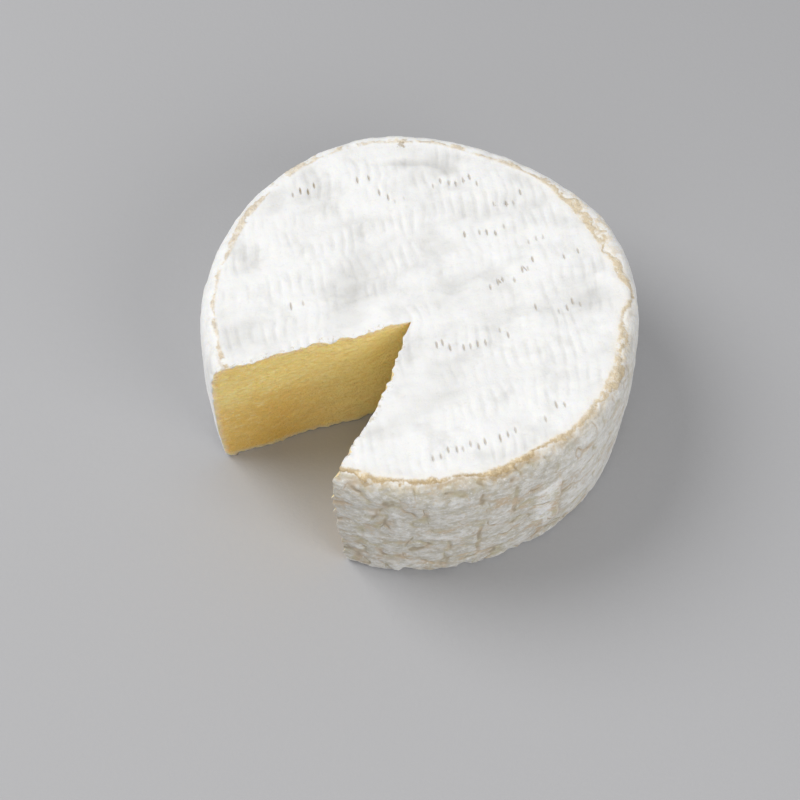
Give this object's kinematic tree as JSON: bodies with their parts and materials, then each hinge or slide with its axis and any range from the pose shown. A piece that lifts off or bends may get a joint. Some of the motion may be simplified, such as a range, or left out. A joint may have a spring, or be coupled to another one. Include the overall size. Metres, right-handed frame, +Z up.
{
  "type": "cheese wheel",
  "caption": "Soft-ripened cheese wheel with a white mould rind ribbed by its draining mat, with a wedge cut out to its middle so that the yellow paste shows.",
  "frame": {"origin": "on the underside, below the middle of the wheel's width and depth", "axes": "+Z up out of the top face, along the wheel's own axis; the wedge is missing on the -X -Y side, and its point is near the axis"},
  "size_m": [0.1192, 0.1212, 0.045],
  "materials": {
    "rind": "matte"
  },
  "bodies": {
    "root": {"cheese_wheel": "rind"}
  },
  "joints": []
}
